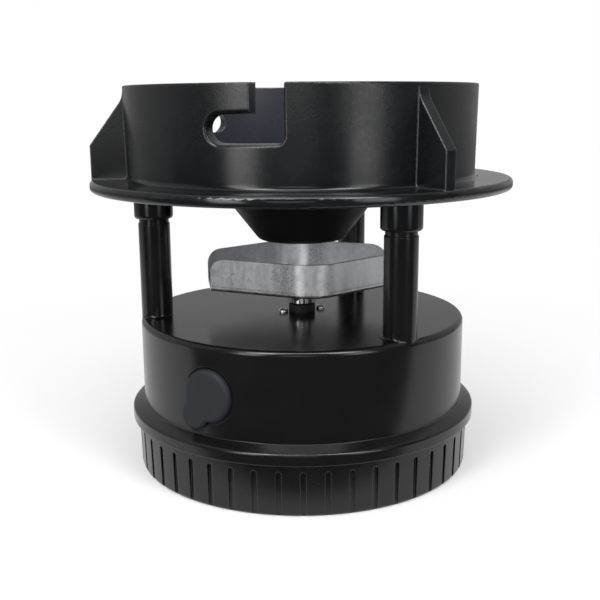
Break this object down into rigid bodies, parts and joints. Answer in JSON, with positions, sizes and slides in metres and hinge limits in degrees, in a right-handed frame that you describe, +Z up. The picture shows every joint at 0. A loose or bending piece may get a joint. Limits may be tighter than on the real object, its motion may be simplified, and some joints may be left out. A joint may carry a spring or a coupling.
{
  "type": "spin cast feeder",
  "caption": "Battery spin cast feeder unit: bayonet hopper collar and funnel over a motor-driven spinner plate, on a round housing with a screw-on bottom cover.",
  "frame": {"origin": "centre of the bottom cover's underside, on the surface that the feeder stands on", "axes": "+Z up along the motor shaft and the collar's bore; -Y is the front, with the charging plug on the front left"},
  "size_m": [0.25, 0.25, 0.2275],
  "materials": {
    "gloss_black_plastic": "glossy moulded, faint pebble",
    "satin_black_plastic": "satin moulded",
    "matte_black_plastic": "matte moulded, slightly speckled",
    "zinc_steel": "zinc plated",
    "black_oxide_steel": "black oxide",
    "motor_steel": "drawn steel can",
    "motor_plastic": "moulded",
    "brass_tabs": "tinned brass",
    "seal_rubber": "matte rubber",
    "plug_rubber": "matte soft rubber",
    "ground_steel": "ground",
    "bright_steel": "bright plated",
    "galvanized_steel": "galvanized with spangle",
    "jack_plastic": "moulded",
    "battery_plastic": "moulded",
    "strap_steel": "zinc plated strip",
    "timer_plastic": "fine moulded texture",
    "circuit_board": "solder resist",
    "display_glass": "display glass",
    "button_rubber": "moulded keys"
  },
  "bodies": {
    "housing": {"base_housing": "gloss_black_plastic", "hopper_collar": "gloss_black_plastic", "funnel": "matte_black_plastic", "funnel_screws": "zinc_steel", "leg_screws": "zinc_steel", "motor_can": "motor_steel", "motor_end_cap": "motor_plastic", "motor_terminals": "brass_tabs", "motor_screws": "zinc_steel", "shaft_seal": "seal_rubber", "charge_jack": "jack_plastic", "jack_nut": "bright_steel", "battery": "battery_plastic", "battery_terminals": "brass_tabs", "battery_strap": "strap_steel", "strap_screws": "zinc_steel", "timer_case": "timer_plastic", "timer_board": "circuit_board", "timer_display": "display_glass", "timer_screws": "zinc_steel"},
    "spinner": {"motor_shaft": "ground_steel", "spinner_hub": "bright_steel", "hub_set_screw": "black_oxide_steel", "spinner_plate": "galvanized_steel"},
    "plug": {"charge_plug": "plug_rubber"},
    "seal": {"cover_seal": "seal_rubber"},
    "cover": {"bottom_cover": "satin_black_plastic"},
    "button_1": {"timer_button_1": "button_rubber"},
    "button_2": {"timer_button_2": "button_rubber"},
    "button_3": {"timer_button_3": "button_rubber"},
    "button_4": {"timer_button_4": "button_rubber"}
  },
  "joints": [
    {"name": "spinner_spin", "type": "hinge", "parent": "housing", "child": "spinner", "pos_m": [0, 0, 0.1], "axis": [0, 0, 1], "continuous": true},
    {"name": "plug_pull", "type": "slide", "parent": "housing", "child": "plug", "axis": [-0.5173, -0.8558, 0], "range_m": [0, 0.012]},
    {"name": "cover_drop", "type": "slide", "parent": "housing", "child": "seal", "axis": [0, 0, -1], "range_m": [0, 0.009]},
    {"name": "cover_twist", "type": "hinge", "parent": "seal", "child": "cover", "pos_m": [0, 0, 0.01], "axis": [0, 0, -1], "range_deg": [0, 360]},
    {"name": "button_press_1", "type": "slide", "parent": "housing", "child": "button_1", "axis": [0, 0, 1], "range_m": [0, 0.0008], "stiffness_N_per_m": 250},
    {"name": "button_press_2", "type": "slide", "parent": "housing", "child": "button_2", "axis": [0, 0, 1], "range_m": [0, 0.0008], "stiffness_N_per_m": 250},
    {"name": "button_press_3", "type": "slide", "parent": "housing", "child": "button_3", "axis": [0, 0, 1], "range_m": [0, 0.0008], "stiffness_N_per_m": 250},
    {"name": "button_press_4", "type": "slide", "parent": "housing", "child": "button_4", "axis": [0, 0, 1], "range_m": [0, 0.0008], "stiffness_N_per_m": 250}
  ],
  "couplings": [
    {"joint": "cover_drop", "follows": "cover_twist", "m_per_rad": 0.0014324}
  ]
}
